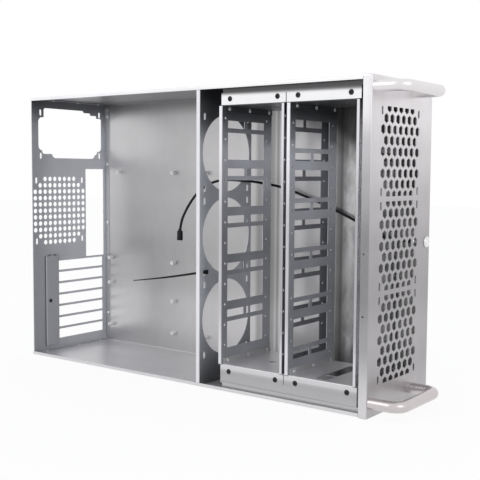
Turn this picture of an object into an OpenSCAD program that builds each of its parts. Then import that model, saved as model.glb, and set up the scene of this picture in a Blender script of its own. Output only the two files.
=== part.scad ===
// Rack storage server chassis, lid off, standing on its long side.
// X runs from the rear panel to the front panel, Y from the open side to the base plate,
// and Z across the rack width. The origin is the middle of the footprint, on the floor.

/* [Body] */
// Length of the folded tray, rear panel to front panel
body_l = 651.5; // [650:0.5:660]
// Width of the tray across the rack, which is its height as it stands
body_w = 440; // [438:1:444]
// Depth of the tray from the open side to the base plate
body_d = 176; // [176:0.5:180]
// Sheet thickness of the tray and the panels
sheet = 1.2; // [1:0.1:1.2]
// Width of the folded lips along the open side
lip_w = 5.2; // [4:0.2:6]

/* [Rear panel] */
// Length of the power supply opening along the depth
psu_l = 148; // [146:1:149]
// Height of the power supply opening
psu_h = 86; // [84:1:88]
// Spacing of the vent holes
vent_pitch = 11; // [10.5:0.1:11]
// Diameter of the vent holes
vent_hole = 8; // [6:0.1:8.2]
// Length of the connector opening
io_l = 158.75; // [158:0.25:159]
// Width of the connector opening
io_w = 44.45; // [44:0.05:45]
// Number of expansion slots
slot_count = 7; // [5:1:7]
// Length of an expansion slot
slot_l = 108; // [104:1:110]
// Width of an expansion slot
slot_w = 16.4; // [14:0.2:17]

/* [Fan wall] */
// Distance from the rear panel to the front of the fan wall
fan_wall_x = 372.7; // [368:0.1:374]
// Radius of a fan opening
fan_r = 57; // [54:0.5:57.5]
// Distance between fan centres
fan_pitch = 123.5; // [120:0.5:124]
// Spacing of a fan's screws
fan_screws = 105; // [104:0.5:106]
// Distance from the open side to the fan centres
fan_y = 64.5; // [62:0.5:68]

/* [Drive cages] */
// Clear width between the two side plates, which is a drive's width
bay_w = 101.8; // [101.6:0.1:102.4]
// Distance from the rear panel to the first bay
bay_x = 413; // [412:0.1:416]
// Distance from one bay to the next
bay_pitch = 115.8; // [115:0.1:116]
// Height of the side plates
plate_h = 373; // [373:1:374]
// Depth of the side plates
plate_d = 124; // [122:1:126]
// Sheet thickness of the cages
cage_sheet = 1; // [0.8:0.1:1.2]
// Distance between the windows of a side plate
window_pitch = 68.4; // [67:0.1:68.4]
// Height of a window
window_h = 38.5; // [34:0.5:39]
// Width of a window
window_w = 88; // [80:1:90]
// Distance from one drive to the next
drive_pitch = 29.8; // [29:0.1:29.8]

/* [Front panel] */
// Width of the panel's folded edges
edge_w = 12.5; // [10:0.5:14]
// Distance between two hexagonal holes
hex_pitch = 16.5; // [16:0.1:17]
// Width of a hexagonal hole across its flats
hex_af = 11.6; // [9:0.1:12.5]
// Distance from the open side to the middle of the grille
grille_y = 81.5; // [78:0.5:84]
// Diameter of the round bar of a handle
handle_bar = 15; // [12:0.5:15]
// How far a handle stands in front of the panel
handle_reach = 50.5; // [44:0.5:54]
// Distance between the two legs of a handle
handle_span = 110; // [100:1:112]
// Radius of the handle's bends along the middle of the bar
handle_bend = 16; // [14:1:24]

/* [Button] */
// Diameter of the button's collar
collar_d = 16; // [15:0.5:17]
// Diameter of the button's face
button_d = 11.6; // [10:0.2:12]
// Travel of the button
button_travel = 1.2; // [0.8:0.1:1.4]

/* [Hidden] */

$fn = 48;

// Overall size: the front panel's folded edges go round the tray
edge_t = 1.5;
panel_x = body_l;
front_x = panel_x + edge_t;
total_l = front_x + handle_reach;
total_d = body_d + edge_t;
fold_r = 2;
eps = 0.01;

// Rivets: every hole takes one blind rivet
rivet_d = 3.2;
rivet_hole = 3.3;
rivet_head = 6;
rivet_head_t = 0.9;

// Heights of the three fan positions, shared by the fan wall and the front grille
fan_mid_z = 221;
fan_zs = [for (k = [-1 : 1]) fan_mid_z + k * fan_pitch];
fan_slot_w = 4.5;
fan_slot_l = 10.5;

// Rear panel places, measured from the open side (Y) and the lower wall (Z)
psu_y = 90;
psu_z = 382;
psu_screw_y = 69;
psu_slot_l = 10.5;
psu_slot_z = 343.5;
psu_slot_pitch = 74;
vent_y = 63;
vent_z = 247.7;
io_y0 = 124.3;
io_z0 = 161.6;
slot_y0 = 57;
slot_z0 = 19.8;
slot_pitch = 20.32;
rear_flange = 11;
bracket_y0 = 27;
bracket_z0 = 11;
bracket_z1 = 168;
bracket_rise = 4;
bracket_screw_y = 36;
bracket_screw_z = 90;
rear_rivets_low = [27, 101, 152];
rear_rivets_high = [45, 101, 152];
rear_rivets_base = [52, 222, 330, 417];

// Mainboard hole pattern: three rows along the length, spaced as the standard gives them
board_x0 = 17.5;
board_cols = [0, 154.94, 227.33];
board_rows = [32.5, 156.96, 314.44];
io_row_shift = 22.86;
spare_row_z = 111.24;
standoff_h = 9;
standoff_af = 6;
standoff_hole = 2.5;
standoff_foot = 4.2;

// Screw holes for small drives in the lower wall
wall_hole_xs = [262, 323.7];
wall_hole_ys = [24, 100.6];

// Fan wall: its face ends short of the base plate, and its two ends are folded and riveted
fan_flange = 5.7;
fan_foot = 18;
fan_face_d = 127;
fan_wall_rivet_ys = [28, 64, 100];

// Cages
bay_xs = [bay_x, bay_x + bay_pitch];
plate_z0 = 38;
plate_z1 = plate_z0 + plate_h;
plate_y0 = 1;
plate_lip = 3.5;
strip_h = 15;
strip_y = 3;
window_y0 = 15.5;
window_top = plate_z0 + 335;
slit_h = 10.8;
slit_gap = 7;
slit_rise = 6.4;
drive_hole_y = 9.6;
drive_hole_d = 3.5;
drive_hole_span = 101.6;
drive_hole_z0 = 65.5;
drive_holes = 12;
end_ear = 9;
end_rivet_ys = [18, 67, 116];
end_rivet_rise = 4.2;
screw_insets = [13.6, 12.2];
screw_span = 81.2;
strip_screw_z = 29.6;
screw_hole = 4.3;
screw_head_d = 7.6;
screw_head_t = 1.9;
web_slot_x = 38;
web_slot_w = 19;

// Rails that carry the cages: a stepped section along the lower and the upper wall, whose face
// covers the strips of the cages and has a slit between the two cages
rail_x0 = bay_xs[0] - 1.5;
rail_x1 = bay_xs[1] + bay_w + 6.5;
rail_face_y = strip_y - cage_sheet;
rail_step_y = 7;
rail_top = 37.9;
rail_step_z = 12;
rail_foot = 24;
rail_slit_x = bay_xs[1] - 7.4;
rail_slit_w = 1.4;
rail_slit_l = 13;
rail_rivet_n = 5;

// Front panel
front_slot_l = 11;
grille_half = 58.5;
button_y = 165.3;
button_z = 219.5;
barrel_d = 12;
handle_y = 8;
handle_lower_z = 19;
handle_upper_z = 425.5;
handle_screw_d = 4;
front_rivet_xs = [645.5];
front_rivet_zs = [90, 212, 330];
cover_screw_zs = [132, 213];

// Lead from the switch, over the rim of the upper fan opening, with its plug hanging free
lead_d = 4;
lead_sides = 8;
lead_points = [[633, 165.3, 219.5], [624, 165.3, 219.5], [610, 165.5, 219.5], [594, 166, 221],
               [576, 167, 226], [557, 167.5, 235], [537, 167.5, 245], [516, 167.5, 254],
               [494, 167.5, 263], [470, 167.5, 272], [447, 167, 280], [424, 164, 288],
               [405, 156, 294.5], [390, 138, 299], [381, 120, 302], [373, 100, 303.5],
               [362, 88, 304.5], [348, 81, 303.5], [332, 79, 299.5], [316, 79, 292],
               [301, 79, 281], [289, 79, 268], [279, 79, 254], [271.5, 79, 240],
               [267, 79, 222]];
plug_l = 15;
plug_w = 8;
plug_t = 5;

// Tie pushed through the lower screw slot of the middle fan
tie_y = 12;
tie_z = 169.5;
tie_l = 146;
tie_w = 3.6;
tie_t = 1.2;
tie_drop = 9.5;

// Moves a shape from the tray's rear, open, lower corner to the part's own origin
module place() {
    translate([-total_l / 2, -total_d / 2, edge_t]) children();
}

// Turns a flat outline of (Y, Z) into a sheet that faces along X, from x0 to x0 + t
module plate_x(x0, t) {
    translate([x0, 0, 0]) rotate([90, 0, 90]) linear_extrude(t) children();
}

// Straight pin or bore along X, Y or Z
module pin_x(x0, y, z, d, l) {
    translate([x0, y, z]) rotate([0, 90, 0]) cylinder(d = d, h = l);
}

module pin_y(x, y0, z, d, l) {
    translate([x, y0, z]) rotate([-90, 0, 0]) cylinder(d = d, h = l);
}

module pin_z(x, y, z0, d, l) {
    translate([x, y, z0]) cylinder(d = d, h = l);
}

// Flat outline of a slot with round ends, longest along the second axis
module slot_up(w, l) {
    square([w, l - w], center = true);
    for (s = [-1, 1]) translate([0, s * (l - w) / 2]) circle(d = w);
}

// Flat outline of a rectangle with round corners, from a corner
module rounded(w, h, r) {
    translate([r, 0]) square([w - 2 * r, h]);
    translate([0, r]) square([w, h - 2 * r]);
    for (x = [r, w - r], y = [r, h - r]) translate([x, y]) circle(r);
}

// Four screw slots round a fan centre
module fan_slots(l) {
    for (y = [-1, 1], z = [-1, 1])
        translate([y * fan_screws / 2, z * fan_screws / 2]) slot_up(fan_slot_w, l);
}

// Folded sheet section: an outer and an inner fold round one corner, legs along both axes
module angle_section(a, b, t, r = 0.6) {
    difference() {
        union() {
            translate([r + t, 0]) square([a - r - t, t]);
            translate([0, r + t]) square([t, b - r - t]);
            intersection() {
                translate([r + t, r + t]) circle(r + t);
                square(r + t);
            }
        }
        translate([r + t, r + t]) circle(r);
    }
}

// A blind rivet along Z, head on top at z = 0, shank below it
module rivet(grip) {
    cylinder(d = rivet_d, h = grip + eps);
    translate([0, 0, grip]) cylinder(d1 = rivet_head, d2 = rivet_head - 2.4, h = rivet_head_t);
}

// Outline of the tray's section in (Y, Z), and the part of it between the two folds
module tray_section() {
    difference() {
        rounded(body_d, body_w, fold_r);
        translate([sheet, sheet]) rounded(body_d - 2 * sheet, body_w - 2 * sheet, fold_r - sheet);
        translate([-1, lip_w]) square([sheet + 2, body_w - 2 * lip_w]);
    }
}

module between_folds() {
    translate([body_d - 5, fold_r]) square([10, body_w - 2 * fold_r]);
}

// The tray is one folded sheet, named as its base and its two walls, which meet at the folds
module tray_base() {
    color("gainsboro") place() difference() {
        plate_x(0, body_l) intersection() {
            tray_section();
            between_folds();
        }
        for (p = board_places()) pin_y(p[0], body_d - 5, p[1], standoff_foot + 0.1, 10);
        for (z = rear_rivets_base) pin_y(rear_flange / 2 + 1, body_d - 5, z, rivet_hole, 10);
        for (z = front_rivet_zs) pin_y(front_rivet_xs[0], body_d - 5, z, rivet_hole, 10);
    }
}

// A wall with its lip, cut back at the front so that the panel's edge goes round it
module tray_wall(upper) {
    z0 = upper ? body_w / 2 : -1;
    hole_z = upper ? body_w - 5 : -5;
    difference() {
        plate_x(0, body_l) difference() {
            intersection() {
                tray_section();
                translate([-1, z0]) square([body_d + 2, body_w / 2 + 1]);
            }
            between_folds();
        }
        translate([front_x - edge_w - 0.5, -1, -1]) cube([edge_w + 5, 1 + edge_t + 1, body_w + 2]);
        for (x = rail_rivet_xs()) pin_z(x, rail_rivet_y(), hole_z, rivet_hole, 10);
        for (y = front_rivet_ys()) pin_z(front_rivet_xs[0], y, hole_z, rivet_hole, 10);
        for (y = fan_wall_rivet_ys) pin_z(fan_foot_x(), y, hole_z, rivet_hole, 10);
    }
}

module tray_lower_wall() {
    color("gainsboro") place() difference() {
        tray_wall(false);
        for (y = rear_rivets_low) pin_z(rear_flange / 2 + 1, y, -5, rivet_hole, 10);
        for (x = wall_hole_xs, y = wall_hole_ys) pin_z(x, y, -5, 3.4, 10);
    }
}

module tray_upper_wall() {
    color("gainsboro") place() difference() {
        tray_wall(true);
        for (y = rear_rivets_high) pin_z(rear_flange / 2 + 1, y, body_w - 5, rivet_hole, 10);
    }
}

// Where the mainboard's screws go, as [X, Z]
function board_places() = concat(
    [for (c = [0 : 2], r = [0 : 2])
        [board_x0 + board_cols[c] + (r == 2 && c == 0 ? io_row_shift : 0), board_rows[r]]],
    [[board_x0, spare_row_z], [board_x0 + board_cols[1], 88.9]]);

// Middle of the fan wall's foot, and of the rivets in rails and front panel
function fan_foot_x() = fan_wall_x - sheet - fan_foot / 2;
function rail_rivet_xs() = [for (k = [0 : rail_rivet_n - 1])
    rail_x0 + 12 + k * (rail_x1 - rail_x0 - 24) / (rail_rivet_n - 1)];
function rail_rivet_y() = rail_step_y + rail_foot / 2;
function front_rivet_ys() = [30, 88, 146];

// Power supply opening: a rounded rectangle, stepped at its corners to leave land for the slots
module psu_opening() {
    y0 = psu_y - psu_l / 2;
    z0 = psu_z - psu_h / 2;
    for (p = [[0, 13, psu_l, psu_h - 29.5, 8], [12, 50, 93, psu_h - 50.5, 4],
              [44, 50, 77, psu_h - 54, 2], [44, 50, 92, psu_h - 58, 2],
              [100, 50, 48, psu_h - 62.8, 3], [8, 7, 130, 40, 5], [30, 0, 102, 40, 8]])
        translate([y0 + p[0], z0 + p[1]]) rounded(p[2], p[3], p[4]);
}

// Screw slots of the power supply, two at each end
module psu_slots() {
    for (s = [-1, 1], k = [0, 1])
        translate([psu_y + s * psu_screw_y, psu_slot_z + s + k * psu_slot_pitch]) slot_up(4.2, psu_slot_l);
}

// Round vent holes in a square with stepped corners, as rows of 7, 9 and 11
module vent_holes() {
    for (r = [-5 : 5]) {
        half = abs(r) == 5 ? 3 : abs(r) == 4 ? 4 : 5;
        for (c = [-half : half]) translate([c * vent_pitch, r * vent_pitch]) circle(d = vent_hole);
    }
}

// Rear panel with its three folded edges
module rear_panel() {
    y0 = 2;
    fy = body_d - sheet;
    color("lightslategray") place() difference() {
        union() {
            plate_x(0, sheet) difference() {
                translate([y0, sheet + eps]) rounded(fy - y0 - eps, body_w - 2 * sheet - 2 * eps, 1);
                psu_opening();
                psu_slots();
                translate([vent_y, vent_z]) vent_holes();
                translate([vent_y, vent_z]) fan_slots(fan_slot_l);
                translate([io_y0, io_z0]) square([io_w, io_l]);
                for (k = [0 : slot_count - 1])
                    translate([slot_y0, slot_z0 + k * slot_pitch]) square([slot_l, slot_w]);
            }
            translate([eps, fy - sheet, 8]) cube([rear_flange, sheet - eps, body_w - 16]);
            translate([eps, 8, sheet + eps]) cube([rear_flange, fy - 16, sheet]);
            translate([eps, 8, body_w - 2 * sheet - eps]) cube([rear_flange, fy - 16, sheet]);
        }
        for (z = rear_rivets_base) pin_y(rear_flange / 2 + 1, body_d - 9, z, rivet_hole, 12);
        for (y = rear_rivets_low) pin_z(rear_flange / 2 + 1, y, -5, rivet_hole, 12);
        for (y = rear_rivets_high) pin_z(rear_flange / 2 + 1, y, body_w - 7, rivet_hole, 12);
        pin_x(-1, bracket_screw_y, bracket_screw_z, 3.4, 5);
    }
}

// Raised bracket beside the slots, which holds down the tails of the cards
module slot_bracket() {
    w = slot_y0 - bracket_y0 - 0.5;
    h = bracket_z1 - bracket_z0;
    rise = bracket_rise;
    color("slategray") place() difference() {
        union() {
            translate([sheet + eps, bracket_y0, bracket_z0]) linear_extrude(h) {
                translate([rise, w]) rotate([0, 0, 180]) angle_section(rise, w / 2 + 2, sheet);
                translate([rise, 0]) rotate([0, 0, 90]) angle_section(w / 2 + 2, rise, sheet);
            }
            for (y = [9, 22]) {
                translate([sheet + eps + rise - sheet, bracket_y0 + y, bracket_z1 - eps])
                    cube([sheet, 6, 2]);
                translate([sheet + eps, bracket_y0 + y, bracket_z1 + 2 - eps - sheet])
                    cube([rise, 6, sheet]);
            }
        }
        pin_x(0, bracket_screw_y, bracket_screw_z, 3.4, 12);
    }
}

// Screw that holds the bracket
module slot_bracket_screw() {
    x1 = sheet + bracket_rise + 2 * eps;
    color("black") place() {
        pin_x(0, bracket_screw_y, bracket_screw_z, 3.2, x1 + eps);
        difference() {
            pin_x(x1, bracket_screw_y, bracket_screw_z, 6.4, 2);
            translate([x1 + 1, bracket_screw_y - 0.6, bracket_screw_z - 2.4]) cube([2, 1.2, 4.8]);
            translate([x1 + 1, bracket_screw_y - 2.4, bracket_screw_z - 0.6]) cube([2, 4.8, 1.2]);
        }
    }
}

// Rivets round the rear panel
module rear_rivets() {
    x = rear_flange / 2 + 1;
    color("silver") place() {
        for (z = rear_rivets_base)
            translate([x, body_d, z]) rotate([90, 0, 0]) rivet(2 * sheet);
        for (y = rear_rivets_low) translate([x, y, 0]) rivet(2 * sheet + eps);
        for (y = rear_rivets_high) translate([x, y, body_w]) mirror([0, 0, 1]) rivet(2 * sheet + eps);
    }
}

// Fan wall: a face with three round openings, folded along the open side and at both ends
module fan_wall() {
    x1 = fan_wall_x;
    low = sheet + eps;
    high = body_w - sheet - eps;
    color("slategray") place() difference() {
        union() {
            plate_x(x1 - sheet, sheet) difference() {
                translate([1.8, low]) square([fan_face_d - 1.8, high - low]);
                for (z = fan_zs) translate([fan_y, z]) circle(fan_r, $fn = 96);
                for (z = fan_zs) translate([fan_y, z]) fan_slots(fan_slot_l);
            }
            translate([x1, 0, lip_w + 0.3]) linear_extrude(body_w - 2 * lip_w - 0.6)
                rotate([0, 0, 90]) angle_section(5, fan_flange, sheet);
            for (z = [low, high - sheet])
                translate([x1 - sheet - fan_foot, 8, z]) cube([fan_foot + eps, fan_face_d - 16, sheet]);
        }
        for (y = fan_wall_rivet_ys, z = [-2, body_w - 7]) pin_z(fan_foot_x(), y, z, rivet_hole, 9);
    }
}

// Rivets through the two ends of the fan wall
module fan_wall_rivets() {
    color("silver") place() for (y = fan_wall_rivet_ys) translate([fan_foot_x(), y, 0]) {
        rivet(2 * sheet + eps);
        translate([0, 0, body_w]) mirror([0, 0, 1]) rivet(2 * sheet + eps);
    }
}

// Threaded hexagonal posts that carry the mainboard, pressed into the base plate
module board_standoffs() {
    color("silver") place() for (p = board_places())
        translate([p[0], body_d, p[1]]) rotate([90, 0, 0]) difference() {
            union() {
                cylinder(d = standoff_foot, h = sheet + eps);
                translate([0, 0, sheet + eps])
                    cylinder(d = standoff_af / cos(30), h = standoff_h, $fn = 6);
            }
            translate([0, 0, -1]) cylinder(d = standoff_hole, h = standoff_h + 5);
        }
}

// Outline of a rail's section in (Y, Z): face, step, web and foot, from the wall's inner side.
// top is the height of the face's free edge above the wall.
module rail_section(top) {
    t = cage_sheet;
    translate([rail_face_y, rail_step_z]) square([t, top - rail_step_z]);
    translate([rail_face_y, rail_step_z]) square([rail_step_y - rail_face_y, t]);
    translate([rail_step_y - t, sheet + eps]) square([t, rail_step_z - sheet]);
    translate([rail_step_y - t, sheet + eps]) square([rail_foot, t]);
}

// A rail on the lower wall, with a slit in its face and holes for the cages' screws
module rail(top, screw_z) {
    difference() {
        plate_x(rail_x0, rail_x1 - rail_x0) rail_section(top);
        translate([rail_slit_x, 0, top - rail_slit_l]) cube([rail_slit_w, rail_face_y + 2, 30]);
        for (x = rail_rivet_xs()) pin_z(x, rail_rivet_y(), -1, rivet_hole, 8);
        for (x = strip_screw_xs()) pin_y(x, 0, screw_z, screw_hole, 8);
    }
}

function strip_screw_xs() = [for (b = [0, 1], s = [0, screw_span]) bay_xs[b] + screw_insets[b] + s];

// Copies a shape of the lower end to the upper end of the cages
module at_upper_end() {
    translate([0, 0, plate_z0 + plate_z1]) mirror([0, 0, 1]) children();
}

module rail_lower() {
    color("silver") place() rail(rail_top, strip_screw_z);
}

// The upper rail is the lower one turned over, with a shorter face
module rail_upper() {
    over = body_w - plate_z0 - plate_z1;
    color("silver") place() translate([0, 0, body_w]) mirror([0, 0, 1])
        rail(rail_top + over, strip_screw_z + over);
}

// Rivets of both rails
module rail_rivets() {
    grip = sheet + cage_sheet + eps;
    color("silver") place() for (x = rail_rivet_xs()) {
        translate([x, rail_rivet_y(), 0]) rivet(grip);
        translate([x, rail_rivet_y(), body_w]) mirror([0, 0, 1]) rivet(grip);
    }
}

// Openings of a side plate in (Y, Z): five windows, each with a pair of slits at one side
module plate_openings(slits_above) {
    for (k = [0 : 4]) translate([window_y0, window_top - window_h - k * window_pitch]) {
        square([window_w, window_h]);
        sz = slits_above ? window_h + slit_rise : -slit_rise - slit_h;
        translate([0, sz]) {
            square([window_w * 0.45, slit_h]);
            translate([window_w * 0.45 + slit_gap, 0])
                square([window_w * 0.55 - slit_gap, slit_h]);
        }
    }
    for (k = [0 : drive_holes - 1], s = [0, 1])
        translate([drive_hole_y + s * drive_hole_span, drive_hole_z0 + k * drive_pitch])
            circle(d = drive_hole_d);
}

// Side plate of a drive cage. side is -1 for the rear one and 1 for the front one.
// The pierced pattern of the second cage is turned end for end.
module side_plate(bay, side) {
    t = cage_sheet;
    z0 = plate_z0;
    flipped = bay == 1;
    x_in = side < 0 ? bay_xs[bay] : bay_xs[bay] + bay_w;
    x0 = side < 0 ? x_in - t : x_in;
    h = plate_z1 - plate_z0;
    color("slategray") place() difference() {
        union() {
            plate_x(x0, t) difference() {
                translate([plate_y0 + 1.5, z0]) square([plate_d - plate_y0 - 1.5, h]);
                if (flipped) translate([0, plate_z0 + plate_z1]) mirror([0, 1]) plate_openings(true);
                else plate_openings(true);
            }
            translate([x_in, plate_y0, z0 + 1]) linear_extrude(h - 2)
                mirror([side < 0 ? 0 : 1, 0]) rotate([0, 0, 90]) angle_section(6, plate_lip + t, t);
        }
        for (y = end_rivet_ys, z = [z0 + end_rivet_rise, plate_z1 - end_rivet_rise])
            pin_x(x0 - 3, y, z, rivet_hole, 8);
    }
}

module cage_a_left_plate() side_plate(0, -1);
module cage_a_right_plate() side_plate(0, 1);
module cage_b_left_plate() side_plate(1, -1);
module cage_b_right_plate() side_plate(1, 1);

// End of a cage: a web between the plates, an ear along each plate, a strip along the open side
module cage_end(bay, slotted) {
    t = cage_sheet;
    x0 = bay_xs[bay] + eps;
    w = bay_w - 2 * eps;
    web_z = plate_z0;
    difference() {
        union() {
            translate([x0, strip_y + t, web_z]) cube([w, plate_d - strip_y - t, t]);
            for (x = [x0, x0 + w - t])
                translate([x, strip_y + 5, web_z]) cube([t, plate_d - strip_y - 5, end_ear]);
            translate([x0 - t + eps, strip_y, web_z - strip_h])
                cube([w + 2 * t - 2 * eps, t, strip_h - 0.1]);
            translate([x0, 0, 0]) rotate([90, 0, 90]) linear_extrude(w)
                translate([strip_y, web_z + t]) mirror([0, 1]) angle_section(6, 6, t);
        }
        for (y = end_rivet_ys, x = [x0 - 3, x0 + w - 5])
            pin_x(x, y, web_z + end_rivet_rise, rivet_hole, 8);
        for (x = strip_screw_xs()) pin_y(x, 0, strip_screw_z, 3.4, 8);
        if (slotted) translate([x0 + web_slot_x, 12, web_z - 1]) cube([web_slot_w, 96, 4]);
        translate([bay_xs[bay] + bay_w / 2, 60, web_z - 1]) if (!slotted) cylinder(d = 12, h = 4);
    }
}

module cage_a_lower_end() {
    color("silver") place() cage_end(0, false);
}

module cage_b_lower_end() {
    color("silver") place() cage_end(1, true);
}

module cage_a_upper_end() {
    color("silver") place() at_upper_end() cage_end(0, false);
}

module cage_b_upper_end() {
    color("silver") place() at_upper_end() cage_end(1, false);
}

// Rivets that join the cages' plates and ends, heads inside the bays
module cage_rivets() {
    grip = 2 * cage_sheet + eps;
    color("silver") place() for (b = bay_xs, y = end_rivet_ys, k = [0, 1]) {
        z = k == 0 ? plate_z0 + end_rivet_rise : plate_z1 - end_rivet_rise;
        translate([b - cage_sheet, y, z]) rotate([0, 90, 0]) rivet(grip);
        translate([b + bay_w + cage_sheet, y, z]) rotate([0, -90, 0]) rivet(grip);
    }
}

// Black screws through the rails into the strips of the cages, round heads with a cross
module cage_screw() {
    translate([0, rail_face_y, 0]) rotate([90, 0, 0]) difference() {
        union() {
            intersection() {
                cylinder(d = screw_head_d, h = screw_head_t);
                translate([0, 0, screw_head_t - 5.2]) sphere(5.2, $fn = 48);
            }
            translate([0, 0, -6]) cylinder(d = 3.3, h = 6 + eps);
        }
        for (a = [0, 90]) rotate([0, 0, a]) translate([-2, -0.45, screw_head_t - 1]) cube([4, 0.9, 2]);
    }
}

module cage_screws() {
    color([0.07, 0.07, 0.08]) place() for (x = strip_screw_xs()) translate([x, 0, 0]) {
        translate([0, 0, strip_screw_z]) cage_screw();
        at_upper_end() translate([0, 0, strip_screw_z]) cage_screw();
    }
}

// Hexagonal grille of one fan position, cut square at its ends, with the fan's screw slots
module grille_group() {
    row_step = hex_pitch * sin(60);
    intersection() {
        for (r = [-4 : 4]) {
            n = abs(r) == 4 ? 5 : r % 2 == 0 ? 7 : 6;
            for (c = [0 : n - 1])
                translate([(c - (n - 1) / 2) * hex_pitch, r * row_step])
                    rotate(30) circle(d = hex_af / cos(30), $fn = 6);
        }
        square(2 * grille_half, center = true);
    }
    fan_slots(front_slot_l);
}

// Outline of what a rounded fold takes off an outer corner at the origin
module fold_cutter(r) {
    difference() {
        translate([-1, -1]) square(r + 1);
        translate([r, r]) circle(r);
    }
}

// The same along the panel's four front edges: near, far, lower and upper
module front_fold_cutters(r, low, high) {
    translate([front_x, 0, low - 1]) linear_extrude(high - low + 2) mirror([1, 0]) fold_cutter(r);
    translate([front_x, total_d, low - 1]) linear_extrude(high - low + 2) rotate(180) fold_cutter(r);
    translate([front_x, total_d + 1, low]) rotate([90, 0, 0]) linear_extrude(total_d + 2)
        mirror([1, 0]) fold_cutter(r);
    translate([front_x, total_d + 1, high]) rotate([90, 0, 0]) linear_extrude(total_d + 2)
        rotate(180) fold_cutter(r);
}

// Front panel: a pan with folded edges round the tray, and the grille in its face
module front_panel() {
    r = 2.4;
    low = -edge_t;
    high = body_w + edge_t;
    color("gainsboro") place() difference() {
        translate([front_x - edge_w, 0, 0]) plate_x(0, edge_w)
            translate([0, low]) rounded(total_d, high - low, r);
        translate([front_x - edge_w - 1, 0, 0]) plate_x(0, edge_w + 1 - edge_t)
            translate([edge_t, low + edge_t]) rounded(total_d - 2 * edge_t, body_w, r - edge_t);
        front_fold_cutters(r, low, high);
        plate_x(panel_x - 1, 5) for (z = fan_zs) translate([grille_y, z]) grille_group();
        pin_x(panel_x - 5, button_y, button_z, barrel_d + 0.1, 10);
        for (p = handle_places()) pin_x(panel_x - 5, p[0], p[1], handle_screw_d + 0.3, 10);
        for (y = front_rivet_ys()) {
            pin_z(front_rivet_xs[0], y, -5, rivet_hole, 6);
            pin_z(front_rivet_xs[0], y, body_w - 1, rivet_hole, 6);
        }
        for (z = front_rivet_zs) pin_y(front_rivet_xs[0], body_d - 1, z, rivet_hole, 6);
        for (z = cover_screw_zs) pin_y(front_x - edge_w + 4.5, -1, z, 3, 4);
    }
}

// Where the handle legs meet the panel, as [Y, Z]
function handle_places() = [for (z = [handle_lower_z, handle_upper_z], y = [0, handle_span])
    [handle_y + y, z]];

// Rivets of the front panel, heads inside
module front_rivets() {
    grip = edge_t + sheet;
    x = front_rivet_xs[0];
    color("silver") place() {
        for (y = front_rivet_ys()) {
            translate([x, y, -edge_t]) rivet(grip);
            translate([x, y, body_w + edge_t]) mirror([0, 0, 1]) rivet(grip);
        }
        for (z = front_rivet_zs) translate([x, total_d, z]) rotate([90, 0, 0]) rivet(grip);
    }
}

// U-shaped handle of round bar: two legs, two bends and a grip, with a threaded hole in each leg
module handle() {
    r = handle_bend;
    d = handle_bar;
    grip_x = handle_reach - d / 2;
    leg = grip_x - r;
    difference() {
        union() {
            for (y = [0, handle_span]) translate([0, y, 0]) rotate([0, 90, 0]) cylinder(d = d, h = leg);
            translate([leg, r, 0]) rotate([0, 0, -90]) rotate_extrude(angle = 90)
                translate([r, 0]) circle(d = d);
            translate([leg, handle_span - r, 0]) rotate_extrude(angle = 90)
                translate([r, 0]) circle(d = d);
            translate([grip_x, r, 0]) rotate([-90, 0, 0]) cylinder(d = d, h = handle_span - 2 * r);
        }
        for (y = [0, handle_span]) translate([-1, y, 0]) rotate([0, 90, 0]) cylinder(d = 3.3, h = 15);
    }
}

module handle_lower() {
    color("gainsboro") place() translate([front_x + eps, handle_y, handle_lower_z]) handle();
}

module handle_upper() {
    color("gainsboro") place() translate([front_x + eps, handle_y, handle_upper_z]) handle();
}

// Screws through the panel into the handles, heads behind the panel
module handle_screws() {
    color("silver") place() for (p = handle_places()) {
        pin_x(panel_x - 2.6, p[0], p[1], 7, 2.6 - eps);
        pin_x(panel_x - eps, p[0], p[1], 3.2, 10);
    }
}

// Body of the switch: collar in front of the panel, threaded barrel, contacts behind
module switch_barrel() {
    color("silver") place() difference() {
        union() {
            pin_x(front_x + eps, button_y, button_z, collar_d, 1.6);
            translate([front_x + 1.6 + eps, button_y, button_z]) rotate([0, 90, 0])
                cylinder(d1 = collar_d, d2 = collar_d - 1.4, h = 0.7);
            pin_x(front_x - 17, button_y, button_z, barrel_d, 17 + 2 * eps);
            for (s = [-1, 1]) translate([front_x - 20, button_y - 1, button_z + s * 2.6 - 0.3])
                cube([4, 2, 0.6]);
        }
        pin_x(front_x - 6, button_y, button_z, button_d + 0.08, 20);
    }
}

// Hexagonal nut behind the panel
module switch_nut() {
    color("silver") place() translate([panel_x - 2.4 - eps, button_y, button_z]) rotate([0, 90, 0])
        difference() {
            cylinder(d = 15 / cos(30), h = 2.4, $fn = 6);
            translate([0, 0, -1]) cylinder(d = barrel_d + 0.1, h = 5);
        }
}

// Button face, which slides into the barrel
module power_button() {
    stem = 6;
    face = 2.6;
    color("white") place() {
        pin_x(front_x - stem + button_travel + 0.3, button_y, button_z, button_d, stem + 0.6);
        translate([front_x + button_travel + 0.9, button_y, button_z]) rotate([0, 90, 0])
            cylinder(d1 = button_d, d2 = button_d - 1, h = face - 1.8);
    }
}

// Sweeps a round section along points: one ring at each sample of a smooth curve
function unit(v) = v / norm(v);
function curve(p, t) =
    let (n = len(p), s = t * (n - 1), i = min(floor(s), n - 2), u = s - i,
         a = p[max(i - 1, 0)], b = p[i], c = p[i + 1], d = p[min(i + 2, n - 1)])
    0.5 * ((2 * b) + (c - a) * u + (2 * a - 5 * b + 4 * c - d) * u * u
           + (3 * b - a - 3 * c + d) * u * u * u);

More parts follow.
